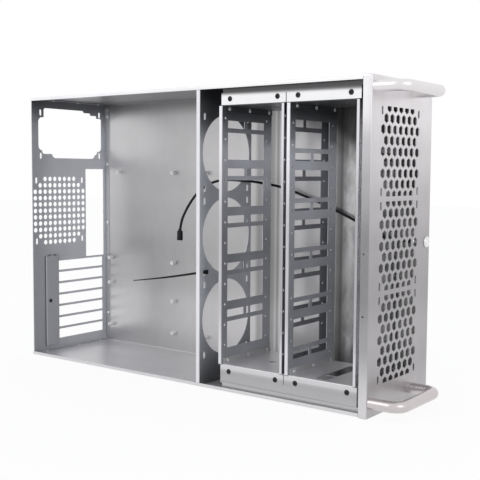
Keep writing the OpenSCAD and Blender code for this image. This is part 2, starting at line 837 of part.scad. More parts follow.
module sweep_round(p, d, sides, rings) {
    pts = [for (k = [0 : rings]) curve(p, k / rings)];
    dirs = [for (k = [0 : rings]) unit(pts[min(k + 1, rings)] - pts[max(k - 1, 0)])];
    ring = [for (k = [0 : rings]) let (s = unit(cross(dirs[k], [0, 1, 0.0001])), w = cross(dirs[k], s))
        [for (j = [0 : sides - 1]) pts[k] + d / 2 * (s * cos(360 * j / sides) + w * sin(360 * j / sides))]];
    all = [for (r = ring, v = r) v];
    n = len(all);
    polyhedron(points = all, faces = concat(
        [[for (j = [0 : sides - 1]) j]],
        [[for (j = [sides - 1 : -1 : 0]) rings * sides + j]],
        [for (k = [0 : rings - 1], j = [0 : sides - 1])
            [k * sides + j, (k + 1) * sides + j, (k + 1) * sides + (j + 1) % sides,
             k * sides + (j + 1) % sides]]), convexity = 6);
}

module switch_lead() {
    color([0.06, 0.06, 0.07]) place() sweep_round(lead_points, lead_d, lead_sides, 64);
}

// Small two-pin plug at the end of the lead
module switch_lead_plug() {
    e = lead_points[len(lead_points) - 1];
    color([0.05, 0.05, 0.06]) place() translate([e[0], e[1], e[2] - plug_l]) difference() {
        translate([-plug_w / 2, -plug_t / 2, 0]) cube([plug_w, plug_t, plug_l]);
        for (s = [-1, 1]) translate([s * 1.27 * 1.5 - 0.5, -0.5, -1]) cube([1, 1, 9]);
    }
}

// Nylon tie: a tapering tail behind the fan wall and its square head in front of it
module cable_tie() {
    color([0.06, 0.06, 0.07]) place() translate([fan_wall_x + 0.4, tie_y, tie_z]) {
        rotate([0, -tie_drop, 0]) translate([-tie_l, -tie_t / 2, 0]) rotate([90, 0, 0])
            translate([0, 0, -tie_t]) linear_extrude(tie_t) polygon([[0, -0.7], [tie_l * 0.55, -1.5],
                [tie_l, -tie_w / 2], [tie_l, tie_w / 2], [tie_l * 0.55, 1.5], [0, 0.7]]);
        translate([0, -3, -3]) cube([5, 6, 6]);
    }
}

tray_base();
tray_lower_wall();
tray_upper_wall();
rear_panel();
slot_bracket();
slot_bracket_screw();
rear_rivets();
fan_wall();
fan_wall_rivets();
board_standoffs();
rail_lower();
rail_upper();
rail_rivets();
cage_a_left_plate();
cage_a_right_plate();
cage_b_left_plate();
cage_b_right_plate();
cage_a_lower_end();
cage_a_upper_end();
cage_b_lower_end();
cage_b_upper_end();
cage_rivets();
cage_screws();
front_panel();
front_rivets();
handle_upper();
handle_lower();
handle_screws();
switch_barrel();
switch_nut();
power_button();
switch_lead();
switch_lead_plug();
cable_tie();
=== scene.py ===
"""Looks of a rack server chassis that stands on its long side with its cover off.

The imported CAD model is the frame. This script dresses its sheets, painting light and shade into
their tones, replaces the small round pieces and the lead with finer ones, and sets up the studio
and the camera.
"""

import logging
import math
from dataclasses import dataclass
from enum import Enum
from typing import Sequence, Union

import bmesh
import bpy
from mathutils import Matrix, Vector


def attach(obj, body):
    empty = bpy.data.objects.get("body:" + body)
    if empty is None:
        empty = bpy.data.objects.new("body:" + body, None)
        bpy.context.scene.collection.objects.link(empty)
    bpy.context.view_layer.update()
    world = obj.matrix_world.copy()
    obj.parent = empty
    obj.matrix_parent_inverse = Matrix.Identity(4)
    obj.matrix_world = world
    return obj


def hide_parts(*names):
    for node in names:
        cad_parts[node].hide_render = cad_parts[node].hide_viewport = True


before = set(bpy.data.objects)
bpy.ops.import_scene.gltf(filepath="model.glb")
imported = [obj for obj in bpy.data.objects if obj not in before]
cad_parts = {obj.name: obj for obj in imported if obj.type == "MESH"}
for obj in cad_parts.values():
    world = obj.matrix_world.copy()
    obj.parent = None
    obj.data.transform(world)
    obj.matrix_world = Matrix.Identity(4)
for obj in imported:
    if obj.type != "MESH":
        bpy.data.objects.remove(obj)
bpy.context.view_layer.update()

LOG = logging.getLogger("chassis")
MM = 0.001
ORIGIN = (351.75, 88.75, -1.5)
# Metres within which vertices count as one: in the CAD meshes, and where a turned profile closes on itself
CAD_JOIN = 1e-6
PROFILE_JOIN = 1e-7
# Edges sharper than this stay sharp
SHARP = math.radians(38)
CHASSIS = "chassis"
BUTTON = "button"

Mesh = bmesh.types.BMesh
Corner = bmesh.types.BMVert
Piece = bpy.types.Object
Triple = tuple[float, float, float]
Value = Union["Channel", float, Sequence[float]]

UP = (0.0, 0.0, 1.0)
ACROSS = (1.0, 0.0, 0.0)
DEEP = (0.0, 1.0, 0.0)
DOWN = (0.0, 0.0, -1.0)
BACK = (-1.0, 0.0, 0.0)


def at(x: float, y: float, z: float) -> Vector:
    """Gives a point of the tray, in millimetres from its rear, open, lower corner, in the row frame.

    Args:
        x: Distance from the rear panel.
        y: Distance from the open side.
        z: Height above the lower wall.

    Returns:
        The point in metres.
    """
    return (Vector((x, y, z)) - Vector(ORIGIN)) * MM


class Channel:
    """A value or colour on its way through a material, with arithmetic that adds Math nodes."""

    def __init__(self, recipe: "Recipe", socket: bpy.types.NodeSocket) -> None:
        """Wraps an output socket of the recipe's tree."""
        self.recipe = recipe
        self.socket = socket

    def _math(self, operation: str, first: Value, second: Value) -> "Channel":
        """Adds one Math node."""
        return self.recipe.add("ShaderNodeMath", {"operation": operation}, {0: first, 1: second})

    def __add__(self, other: Value) -> "Channel":
        """Adds a value."""
        return self._math("ADD", self, other)

    __radd__ = __add__

    def __sub__(self, other: Value) -> "Channel":
        """Takes a value away."""
        return self._math("SUBTRACT", self, other)

    def __rsub__(self, other: Value) -> "Channel":
        """Takes this away from a value."""
        return self._math("SUBTRACT", other, self)

    def __mul__(self, other: Value) -> "Channel":
        """Multiplies by a value."""
        return self._math("MULTIPLY", self, other)

    __rmul__ = __mul__

    def clamped(self) -> "Channel":
        """Holds the value between 0 and 1."""
        return self.recipe.add("ShaderNodeClamp", {}, {"Value": self})

    def ramp(self, low: float, high: float) -> "Channel":
        """Turns the range from low to high into 0 to 1, with soft ends.

        Args:
            low: Value that gives 0.
            high: Value that gives 1.

        Returns:
            The mask.
        """
        return self.recipe.add(
            "ShaderNodeMapRange",
            {"interpolation_type": "SMOOTHSTEP"},
            {"Value": self, "From Min": low, "From Max": high, "To Min": 0.0, "To Max": 1.0},
        )


class Recipe:
    """The node tree of one material or of the world."""

    def __init__(self, tree: bpy.types.NodeTree) -> None:
        """Empties the tree and keeps it."""
        self.tree = tree
        tree.nodes.clear()

    def add(
        self,
        kind: str,
        settings: dict[str, object] | None = None,
        sockets: dict[Union[str, int], Value] | None = None,
        output: Union[str, int] = 0,
    ) -> Channel:
        """Adds any node.

        Args:
            kind: Type of the node.
            settings: What is set on the node before its sockets.
            sockets: Values or links of the inputs, by name or number.
            output: Name or number of the output that is wanted.

        Returns:
            The wanted output.
        """
        node = self.tree.nodes.new(kind)
        for name, value in (settings or {}).items():
            setattr(node, name, value)
        for key, value in (sockets or {}).items():
            if isinstance(value, Channel):
                self.tree.links.new(value.socket, node.inputs[key])
            else:
                node.inputs[key].default_value = value
        return Channel(self, node.outputs[output] if len(node.outputs) else None)

    def blend(self, factor: Value, first: Value, second: Value) -> Channel:
        """Mixes two colours.

        Args:
            factor: 0 gives the first, 1 the second.
            first: A colour of three numbers, or a channel.
            second: A colour of three numbers, or a channel.

        Returns:
            The mixed colour.
        """
        full = [c if isinstance(c, Channel) else (*c, 1.0) for c in (first, second)]
        return self.add(
            "ShaderNodeMix", {"data_type": "RGBA"}, {0: factor, 6: full[0], 7: full[1]}, output=2
        )

    def place(self) -> Channel:
        """Gives the position in the object's own frame, which is the row frame."""
        return self.add("ShaderNodeTexCoord", output="Object")

    def along(self, way: Triple) -> Channel:
        """Measures the position along a direction, in the tray's millimetres.

        Args:
            way: The direction, as X, Y and Z.

        Returns:
            The distance.
        """
        scaled = self.add(
            "ShaderNodeVectorMath",
            {"operation": "MULTIPLY_ADD"},
            {0: self.place(), 1: (1 / MM, 1 / MM, 1 / MM), 2: ORIGIN},
        )
        return self.dot(scaled, way)

    def dot(self, vector: Channel, way: Triple) -> Channel:
        """Gives the share of a vector along a direction."""
        return self.add("ShaderNodeVectorMath", {"operation": "DOT_PRODUCT"}, {0: vector, 1: way}, output=1)

    def facing(self, way: Triple) -> Channel:
        """Tells how squarely the surface faces along a direction, either way.

        Args:
            way: The direction, as X, Y and Z.

        Returns:
            1 where it faces along the direction, 0 where it stands edge-on to it.
        """
        normal = self.add("ShaderNodeNewGeometry", output="True Normal")
        return self.add("ShaderNodeMath", {"operation": "ABSOLUTE"}, {0: self.dot(normal, way)})

    def shaded(self, tone: Value, shade: Channel) -> Channel:
        """Multiplies a tone by a shade.

        Args:
            tone: A colour of three numbers, or a channel.
            shade: The grey shade.

        Returns:
            The shaded tone.
        """
        return self.add(
            "ShaderNodeMix",
            {"data_type": "RGBA", "blend_type": "MULTIPLY"},
            {0: 1.0, 6: tone if isinstance(tone, Channel) else (*tone, 1.0), 7: shade},
            output=2,
        )

    def noise(self, scale: Triple, detail: float = 2.0, roughness: float = 0.5) -> Channel:
        """Adds a noise with its own scale along each axis.

        Args:
            scale: Cells per metre along X, Y and Z.
            detail: Number of finer layers.
            roughness: Strength of the finer layers.

        Returns:
            The noise, from 0 to 1.
        """
        spread = self.add("ShaderNodeMapping", {}, {"Vector": self.place(), "Scale": scale})
        return self.add(
            "ShaderNodeTexNoise",
            {},
            {"Vector": spread, "Scale": 1.0, "Detail": detail, "Roughness": roughness},
        )

    def bump(self, strength: float, distance: float, height: Channel) -> Channel:
        """Turns a height into a normal."""
        return self.add("ShaderNodeBump", {}, {"Strength": strength, "Distance": distance, "Height": height})

    def surface(self, sockets: dict[Union[str, int], Value]) -> None:
        """Ends a material with its shader and its output."""
        shader = self.add("ShaderNodeBsdfPrincipled", {}, sockets)
        self.add("ShaderNodeOutputMaterial", {}, {"Surface": shader})

    def seen_by(self, *rays: str) -> Channel:
        """Gives 1 for the named kinds of ray and 0 for the others.

        Args:
            rays: Outputs of the light path.

        Returns:
            The mask.
        """
        path = self.add("ShaderNodeLightPath").socket.node
        total, *others = (Channel(self, path.outputs[name]) for name in rays)
        for other in others:
            total = total + other
        return total.clamped()


def new_material(name: str) -> tuple[bpy.types.Material, Recipe]:
    """Makes an empty material.

    Args:
        name: Its name.

    Returns:
        The material and its recipe.
    """
    material = bpy.data.materials.new(name)
    material.use_nodes = True
    return material, Recipe(material.node_tree)


class Grain(Enum):
    """The way a sheet was rolled or brushed, as noise cells per metre along X, Y and Z."""

    ALONG_X = (60.0, 2600.0, 2600.0)
    ALONG_Z = (2600.0, 2600.0, 60.0)


@dataclass(frozen=True)
class PaintedShading:
    """Painted light and shade: soft changes of tone along one direction of the tray, standing in for shadows,
    shade and reflections.
    """

    way: Triple
    stops: tuple[tuple[float, float], ...]

    def build(self, recipe: Recipe) -> Channel:
        """Makes the painted grey shade that a tone is multiplied by.

        Args:
            recipe: The material's tree.

        Returns:
            The shade.
        """
        place = recipe.along(self.way)
        shade: Value = (self.stops[0][1],) * 3
        for (low, _), (high, factor) in zip(self.stops, self.stops[1:]):
            shade = recipe.blend(place.ramp(low, high), shade, (factor,) * 3)
        return shade


@dataclass(frozen=True)
class Coat:
    """Tone of a stretch of sheet, with its painted light and shade."""

    tone: Triple
    painted_shades: tuple[PaintedShading, ...] = ()

    def build(self, recipe: Recipe) -> Value:
        """Makes the tone.

        Args:
            recipe: The material's tree.

        Returns:
            The tone with its painted light and shade.
        """
        tone: Value = self.tone
        for painted_shade in self.painted_shades:
            tone = recipe.shaded(tone, painted_shade.build(recipe))
        return recipe.blend(0.0, tone, tone) if tone is self.tone else tone


@dataclass(frozen=True)
class Outside:
    """The outer face of a sheet, which the inner face's painted light and shade don't reach."""

    way: Triple
    start: float
    tone: Triple

    def over(self, recipe: Recipe, inner: Value) -> Channel:
        """Lays the outer tone over the inner one.

        Args:
            recipe: The material's tree.
            inner: Tone of the inner face.

        Returns:
            The joined tone.
        """
        mask = recipe.along(self.way).ramp(self.start - 0.2, self.start + 0.2)
        return recipe.blend(mask, inner, self.tone)


@dataclass(frozen=True)
class Mottle:
    """Cloudy light and dark patches beyond a place along a direction."""

    way: Triple
    start: float
    depth: float
    scale: Triple = (55.0, 55.0, 20.0)
    reach: float = 12.0

    def build(self, recipe: Recipe) -> Channel:
        """Makes the change of shade, which is 0 before the start."""
        patches = recipe.noise(self.scale, 4.0, 0.62).ramp(0.36, 0.66) - 0.5
        return patches * recipe.along(self.way).ramp(self.start, self.start + self.reach) * self.depth


# Shares of the clouds, the grain and sheen streak noise, the lines and the spots in a sheet's tone, and in
# its roughness
CLOUD_TONE, STREAK_SHEEN_TONE, LINE_TONE, SPOT_TONE = 2.4, 1.5, 0.09, 0.05
CLOUD_ROUGH, LINE_ROUGH, SPOT_ROUGH = 0.12, 0.06, 0.05
# Width over which the painted highlight of the open side's folded edge gives way to the face's tone, to each
# side, in millimetres
LIP_BLEND = 0.4


@dataclass(frozen=True)
class SheetMetal:
    """Rolled steel sheet: its face, its folded edge on the open side painted as a highlight, its grain, and
    its cut edges with a painted edge tone.
    """

    name: str
    face: Coat
    grain: Grain = Grain.ALONG_Z
    roughness: float = 0.36
    clouding: float = 0.10
    grain_depth: float = 0.03
    lip: Coat | None = None
    lip_y: float = 0.0
    normal: Triple | None = None
    cut_light: float = 0.9
    metallic: float = 1.0
    outside: Outside | None = None
    mottle: Mottle | None = None

    def build(self) -> bpy.types.Material:
        """Makes the material.

        Returns:
            The material.
        """
        material, recipe = new_material(self.name)
        lines = recipe.noise(self.grain.value, 3.0, 0.6)
        # Long bands along the grain: grain, with painted sheen of brushed metal
        grain_sheen_streaks = recipe.noise(tuple(3.0 + c / 100 for c in self.grain.value), 3.0, 0.6)
        clouds = recipe.noise((9.0, 9.0, 6.0), 4.0, 0.6)
        spots = recipe.noise((60.0, 60.0, 60.0), 2.0, 0.5)
        tone = self.face.build(recipe)
        if self.mottle:
            tone = recipe.shaded(tone, 1 + self.mottle.build(recipe))
        if self.outside:
            tone = self.outside.over(recipe, tone)
        # Painted edge tone: cut edges, edge-on to the normal, take the face's plain tone times a factor,
        # without its painted shading
        if self.normal:
            cut = 1 - recipe.facing(self.normal).ramp(0.3, 0.6)
            light = tuple(min(1.0, c * self.cut_light) for c in self.face.tone)
            tone = recipe.blend(cut, tone, light)
        # Painted highlight on the folded edge of the open side
        if self.lip:
            lip = 1 - recipe.along(DEEP).ramp(self.lip_y - LIP_BLEND, self.lip_y + LIP_BLEND)
            tone = recipe.blend(lip, tone, self.lip.build(recipe))
        uneven = 1 + (clouds - 0.5) * (CLOUD_TONE * self.clouding)
        uneven = uneven + (lines - 0.5) * LINE_TONE + (spots - 0.5) * SPOT_TONE
        uneven = uneven + (grain_sheen_streaks - 0.5) * (STREAK_SHEEN_TONE * self.clouding)
        tone = recipe.shaded(tone, uneven)
        rough = self.roughness + (clouds - 0.5) * CLOUD_ROUGH
        rough = rough + (spots - 0.5) * SPOT_ROUGH + (lines - 0.5) * LINE_ROUGH
        recipe.surface(
            {
                "Base Color": tone,
                "Metallic": self.metallic,
                "Roughness": rough,
                "Normal": recipe.bump(self.grain_depth, 0.0004, lines + spots * 0.4),
            }
        )
        return material


@dataclass(frozen=True)
class TurnedMetal:
    """Drawn or turned metal without a grain direction: bar, rivets, posts and the switch."""

    name: str
    tone: Triple
    roughness: float = 0.25
    wear: float = 0.08
    metallic: float = 1.0

    def build(self) -> bpy.types.Material:
        """Makes the material.

        Returns:
            The material.
        """
        material, recipe = new_material(self.name)
        wear = recipe.noise((180.0, 180.0, 180.0), 4.0, 0.6)
        dark = tuple(c * (1 - 2 * self.wear) for c in self.tone)
        tone = recipe.blend(wear.ramp(0.35, 0.7), dark, self.tone)
        recipe.surface(
            {
                "Base Color": tone,
                "Metallic": self.metallic,
                "Roughness": self.roughness + (wear - 0.5) * (0.06 + self.wear),
                "Normal": recipe.bump(self.wear, 0.0001, wear),
            }
        )
        return material


@dataclass(frozen=True)
class DarkPlastic:
    """Black plastic, rubber or black oxide with a fine moulded texture."""

    name: str
    tone: Triple
    roughness: float = 0.5
    scale: float = 900.0
    shine: float = 0.5

    def build(self) -> bpy.types.Material:
        """Makes the material.

        Returns:
            The material.
        """
        material, recipe = new_material(self.name)
        fine = recipe.noise((self.scale,) * 3, 3.0, 0.6)
        light = tuple(min(1.0, c * 1.6 + 0.004) for c in self.tone)
        tone = recipe.blend(fine.ramp(0.3, 0.8), self.tone, light)
        recipe.surface(
            {
                "Base Color": tone,
                "Roughness": self.roughness + (fine - 0.5) * 0.2,
                "Normal": recipe.bump(0.15, 0.0002, fine),
                "Specular IOR Level": self.shine,
            }
        )
        return material


Finish = Union[SheetMetal, TurnedMetal, DarkPlastic]


def lengthwise(
    name: str, face: Coat, roughness: float = 0.36, clouding: float = 0.10, **rest: object
) -> SheetMetal:
    """Makes the finish of a sheet that runs along the tray.

    Args:
        name: Name of the material.
        face: Tone of its faces.
        roughness: Middle roughness.
        clouding: Strength of the clouds.
        rest: Other fields of the finish.

    Returns:
        The finish.
    """
    return SheetMetal(name, face, Grain.ALONG_X, roughness, clouding, metallic=0.6, **rest)


def crosswise(name: str, face: Coat, clouding: float = 0.06, **rest: object) -> SheetMetal:
    """Makes the finish of a sheet that stands across the tray, whose cut edges have a painted tone of their
    own.

    Args:
        name: Name of the material.
        face: Tone of its faces.
        clouding: Strength of the clouds.
        rest: Other fields of the finish.

    Returns:
        The finish.
    """
    return SheetMetal(name, face, Grain.ALONG_Z, 0.42, clouding, normal=ACROSS, metallic=0.35, **rest)


# Painted light and shade: painted shade near the open edge, folded edges painted as highlights, and bands of
# painted shade, shadow and reflection up and along the sheets
NEAR_EDGE_PAINTED_SHADE = PaintedShading(DEEP, ((6, 0.6), (70, 1.0)))
LEFT_LIP_PAINTED_HIGHLIGHT = Coat((0.70, 0.69, 0.71), (PaintedShading(UP, ((60, 1.05), (130, 0.8), (230, 0.8), (370, 1.25))),))
RIGHT_LIP_PAINTED_HIGHLIGHT = Coat((0.52, 0.51, 0.525), (PaintedShading(UP, ((60, 1.3), (110, 0.85), (250, 0.85), (370, 1.5))),))
BASE_PAINTED_SHADING_UP = (
    (6, 1.02), (45, 1.2), (80, 1.12), (130, 0.88), (180, 0.84), (230, 0.9), (290, 1.0), (340, 1.12),
    (380, 1.15), (410, 1.2), (438, 0.6),
)
BASE_PAINTED_SHADING_ALONG = (
    (60, 1.06), (200, 0.95), (300, 1.0), (344, 1.02), (354, 0.6), (360, 0.65), (368, 0.5), (376, 0.5),
    (383, 0.58), (387, 0.85), (391.5, 0.54), (396, 1.1), (468, 1.15), (498, 0.7), (503, 0.42),
    (509, 0.28), (514, 0.6), (524, 1.05), (545, 1.0), (570, 0.85), (600, 0.5),
)
FAN_PAINTED_SHADE_UP = (
    (0, 0.22), (60, 0.72), (120, 1.05), (200, 1.08), (282, 0.95), (350, 1.0), (400, 0.2), (430, 0.09),
)
FIRST_CAGE_PAINTED_SHADING_UP = (
    (60, 1.0), (150, 0.85), (215, 0.76), (260, 1.0), (300, 1.4), (350, 1.7), (368, 1.0), (402, 0.28),
)
SECOND_CAGE_PAINTED_SHADING_UP = (
    (60, 1.06), (120, 0.96), (200, 1.1), (280, 1.55), (335, 1.95), (350, 1.9), (366, 0.9), (402, 0.2),
)
HIGH_RAIL_PAINTED_SHADOW = (
    (426.2, 1.0), (428.2, 0.85), (429.5, 0.52), (430.8, 0.26), (432, 0.16), (434, 0.11), (440, 0.11),
)
FRONT_PAINTED_SHADING_UP = (
    (20, 0.88), (60, 0.78), (100, 0.8), (150, 0.7), (220, 0.78), (270, 0.95), (340, 1.28), (400, 1.55),
)
FRONT_LIP_PAINTED_SHADING_UP = (
    (10, 1.25), (100, 0.66), (160, 0.5), (230, 0.52), (300, 0.8), (350, 1.05), (400, 1.6),
)


@dataclass(frozen=True)
class Finishes:
    """Every finish of the chassis, by the node that wears it."""

    # Base: painted light and shade up and along its inner face, and a painted shadow in the corner by the fan
    # wall and the top wall
    base: SheetMetal = SheetMetal(
        "base_sheet",
        Coat(
            (0.535, 0.524, 0.528),
            (
                PaintedShading(UP, BASE_PAINTED_SHADING_UP),
                PaintedShading(ACROSS, BASE_PAINTED_SHADING_ALONG),
                PaintedShading((0.8, 0.0, 1.0), ((735, 1.0), (765, 0.6), (795, 0.13))),
                PaintedShading((-1.0, 0.0, 0.5), ((-470, 0.6), (-410, 1.0))),
            ),
        ),
        roughness=0.32,
        clouding=0.08,
        metallic=0.7,
        outside=Outside(DEEP, 175.4, (0.55, 0.545, 0.553)),
        mottle=Mottle(ACROSS, 504, 0.5),
    )
    # Lower wall: inner face and folded edge painted lighter than the outer face, as painted light
    wall_low: SheetMetal = lengthwise(
        "lower_wall_sheet",
        Coat((0.70, 0.695, 0.71)),
        lip=Coat((0.70, 0.69, 0.70)),
        lip_y=1.3,
        outside=Outside(DOWN, -0.6, (0.56, 0.555, 0.563)),
    )
    # Upper wall: inner face painted dark as shade, folded edge painted as a highlight
    wall_high_shaded: SheetMetal = lengthwise(
        "upper_wall_shaded_sheet",
        Coat((0.30, 0.295, 0.305)),
        lip=Coat((0.88, 0.87, 0.88)),
        lip_y=1.3,
        outside=Outside(UP, 439.4, (0.60, 0.595, 0.603)),
    )
    # Rear: inner face painted lighter than the outer face as painted light, with painted shade by the top
    # wall and the open edge
    rear: SheetMetal = crosswise(
        "rear_sheet",
        Coat(
            (0.70, 0.71, 0.745),
            (
                PaintedShading(UP, ((0, 0.88), (150, 0.95), (250, 1.04), (380, 1.0), (436, 0.22))),
                PaintedShading(DEEP, ((5, 0.64), (60, 0.95), (100, 1.1), (160, 1.15))),
            ),
        ),
        cut_light=0.62,
        outside=Outside(BACK, -0.6, (0.56, 0.565, 0.585)),
    )
    # Bracket: cut edges painted dark as shade
    bracket: SheetMetal = crosswise("bracket_sheet", Coat((0.48, 0.485, 0.505)), cut_light=0.3)
    # Fan wall: painted shade towards both walls, folded edge painted as a highlight
    fan: SheetMetal = crosswise(
        "fan_wall_sheet",
        Coat((0.56, 0.575, 0.60), (PaintedShading(UP, FAN_PAINTED_SHADE_UP),)),
        lip=Coat((0.80, 0.80, 0.82)),
        lip_y=1.3,
    )
    # Cage plates: one sheet, with painted light and shade up their height and near the open edge, folded
    # edges painted as highlights
    cage_a: SheetMetal = crosswise(
        "first_cage_sheet",
        Coat((0.57, 0.58, 0.615), (PaintedShading(UP, FIRST_CAGE_PAINTED_SHADING_UP), NEAR_EDGE_PAINTED_SHADE)),
        0.05,
        lip=LEFT_LIP_PAINTED_HIGHLIGHT,
        lip_y=2.3,
    )
    cage_b: SheetMetal = crosswise(
        "second_cage_sheet",
        Coat((0.52, 0.53, 0.565), (PaintedShading(UP, SECOND_CAGE_PAINTED_SHADING_UP), NEAR_EDGE_PAINTED_SHADE)),
        0.05,
        lip=LEFT_LIP_PAINTED_HIGHLIGHT,
        lip_y=2.3,
    )
    # Right plates painted dark as shade
    cage_right_shaded: SheetMetal = crosswise(
        "right_plate_shaded_sheet",
        Coat((0.26, 0.265, 0.285), (PaintedShading(UP, ((60, 0.9), (200, 1.0), (360, 1.2), (402, 0.3))),)),
        0.05,
        lip=RIGHT_LIP_PAINTED_HIGHLIGHT,
        lip_y=2.3,
    )
    # Last plate painted dark as shade, with painted light near the open edge
    cage_front_shaded: SheetMetal = crosswise(
        "last_plate_shaded_sheet",
        Coat(
            (0.26, 0.26, 0.272),
            (
                PaintedShading(UP, ((60, 0.95), (200, 1.0), (350, 1.1), (402, 0.3))),
                PaintedShading(DEEP, ((4, 3.0), (30, 2.2), (52, 1.0), (84, 0.5))),
            ),
        ),
        0.10,
        lip=RIGHT_LIP_PAINTED_HIGHLIGHT,
        lip_y=2.3,
    )
    strip: SheetMetal = lengthwise("strip_sheet", Coat((0.68, 0.675, 0.685)), 0.34, 0.05)
    # Upper cage ends: the same sheet as the lower ones, painted nearly black as shade
    roof_shaded: SheetMetal = lengthwise("roof_shaded_sheet", Coat((0.13, 0.135, 0.14)), 0.34, 0.05)
    # Lower rail: painted light and shade up its face, and a painted dark line where a groove's shade falls
    rail_low: SheetMetal = lengthwise(
        "lower_rail_sheet",
        Coat(
            (0.54, 0.532, 0.54),
            (
                PaintedShading(UP, ((9, 1.1), (12.2, 0.84), (20, 0.8), (27, 0.76), (30, 0.84), (33, 1.15), (37, 1.2))),
                PaintedShading((0.011, 0.0, 1.0), ((17.8, 1.0), (18.4, 0.74), (19.2, 0.74), (19.8, 1.0))),
            ),
        ),
        clouding=0.06,
    )
    # Upper rail: painted light, with a painted shadow under the top wall along its upper edge
    rail_high: SheetMetal = lengthwise(
        "upper_rail_sheet",
        Coat((0.86, 0.85, 0.86), (PaintedShading((0.009, 0.0, 1.0), HIGH_RAIL_PAINTED_SHADOW),)),
        clouding=0.06,
    )
    # Front panel: painted light and shade up its face and its folded edges, lighter at the top
    front: SheetMetal = SheetMetal(
        "front_sheet",
        Coat((0.505, 0.488, 0.496), (PaintedShading(UP, FRONT_PAINTED_SHADING_UP),)),
        roughness=0.34,
        clouding=0.13,
        lip=Coat((0.54, 0.53, 0.54), (PaintedShading(UP, FRONT_LIP_PAINTED_SHADING_UP),)),
        lip_y=0.6,
        metallic=0.8,
    )
    # One metal for both handles: the lower one painted darker as shade
    handle_high: TurnedMetal = TurnedMetal("upper_handle_metal", (0.80, 0.77, 0.775), 0.32, 0.012, 0.8)
    handle_low_shaded: TurnedMetal = TurnedMetal("lower_handle_shaded_metal", (0.61, 0.56, 0.565), 0.28, 0.012, 0.85)
    rivet: TurnedMetal = TurnedMetal("rivet_metal", (0.90, 0.90, 0.91), 0.28, 0.08, 0.5)
    # Posts painted near white as a painted highlight; the handle screws and the switch nut wear it too
    post: TurnedMetal = TurnedMetal("post_metal", (0.98, 0.975, 0.97), 0.25, 0.02, 0.15)
    switch: TurnedMetal = TurnedMetal("switch_metal", (0.86, 0.86, 0.86), 0.14, 0.04)
    screw: DarkPlastic = DarkPlastic("black_screw", (0.012, 0.012, 0.013), 0.35, 900.0, 0.3)
    sleeve: DarkPlastic = DarkPlastic("black_sleeve", (0.014, 0.014, 0.016), 0.55, 1400.0, 0.12)
    nylon: DarkPlastic = DarkPlastic("black_nylon", (0.010, 0.010, 0.011), 0.42, 900.0, 0.16)

    def by_node(self) -> dict[str, Finish]:
        """Names the finish of every CAD node but the groups of rivets.

        Returns:
            The finishes by the names of the nodes.
        """
        return {
            "tray_base": self.base,
            "tray_lower_wall": self.wall_low,
            "tray_upper_wall": self.wall_high_shaded,
            "rear_panel": self.rear,
            "slot_bracket": self.bracket,
            "fan_wall": self.fan,
            "front_panel": self.front,
            "rail_lower": self.rail_low,
            "rail_upper": self.rail_high,
            "cage_a_left_plate": self.cage_a,
            "cage_a_right_plate": self.cage_right_shaded,
            "cage_b_left_plate": self.cage_b,
            "cage_b_right_plate": self.cage_front_shaded,
            "cage_a_lower_end": self.strip,
            "cage_a_upper_end": self.roof_shaded,
            "cage_b_lower_end": self.strip,
            "cage_b_upper_end": self.roof_shaded,
            "handle_upper": self.handle_high,
            "handle_lower": self.handle_low_shaded,
            "board_standoffs": self.post,
            "handle_screws": self.post,
            "switch_barrel": self.switch,
            "switch_nut": self.switch,
            "power_button": self.switch,
            "cage_screws": self.screw,
            "slot_bracket_screw": self.screw,
            "switch_lead": self.sleeve,
            "switch_lead_plug": self.nylon,
            "cable_tie": self.nylon,
        }


class Wardrobe:
    """Builds each finish once and puts it on nodes and pieces."""

    def __init__(self, finishes: Finishes) -> None:
        """Keeps the finishes and an empty store of materials."""
        self.finishes = finishes
        self.made: dict[str, bpy.types.Material] = {}

    def material(self, finish: Finish) -> bpy.types.Material:
        """Gives the material of a finish, made once.

        Args:
            finish: One of the finishes.

        Returns:
            The material.
        """
        if finish.name not in self.made:
            self.made[finish.name] = finish.build()
        return self.made[finish.name]

    def dress(self, piece: Piece, finish: Finish) -> None:
        """Puts a finish into every slot of a piece.

        Args:
            piece: A CAD node or a new piece.
            finish: One of the finishes.
        """
        material = self.material(finish)
        if not piece.material_slots:
            piece.data.materials.append(material)
        for slot in piece.material_slots:
            slot.material = material

    def dress_nodes(self) -> None:
        """Dresses every CAD node."""
        chosen = self.finishes.by_node()
        for name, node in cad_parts.items():
            self.dress(node, chosen.get(name, self.finishes.rivet))
            LOG.info("node %s wears %s", name, chosen.get(name, self.finishes.rivet).name)


def smooth_line(points: Sequence[Triple], steps: int) -> list[Vector]:
    """Samples the smooth curve through the points, as the part's source does.

    Args:
        points: Route in tray millimetres.
        steps: Number of stretches.

    Returns:
        The samples in the row frame.
    """
    p = [at(*q) for q in points]
    last = len(p) - 1
    line = []
    for k in range(steps + 1):
        s = k / steps * last
        i = min(int(s), last - 1)
        u = s - i
        a, b, c, d = p[max(i - 1, 0)], p[i], p[i + 1], p[min(i + 2, last)]
        square, cube = 2 * a - 5 * b + 4 * c - d, 3 * b - a - 3 * c + d
        line.append(0.5 * (2 * b + (c - a) * u + square * u * u + cube * u * u * u))
    return line


def ring_of(
    mesh: Mesh, middle: Vector, side: Vector, other: Vector, reach: float, sides: int
) -> list[Corner]:
    """Adds the corners of a round section.

    Args:
        mesh: The mesh.
        middle: Middle of the section.
        side: Direction of its first corner.
        other: Direction a quarter turn on.
        reach: Its radius in metres.
        sides: Number of corners.

    Returns:
        The corners.
    """
    angles = [2 * math.pi * j / sides for j in range(sides)]
    return [mesh.verts.new(middle + (side * math.cos(a) + other * math.sin(a)) * reach) for a in angles]


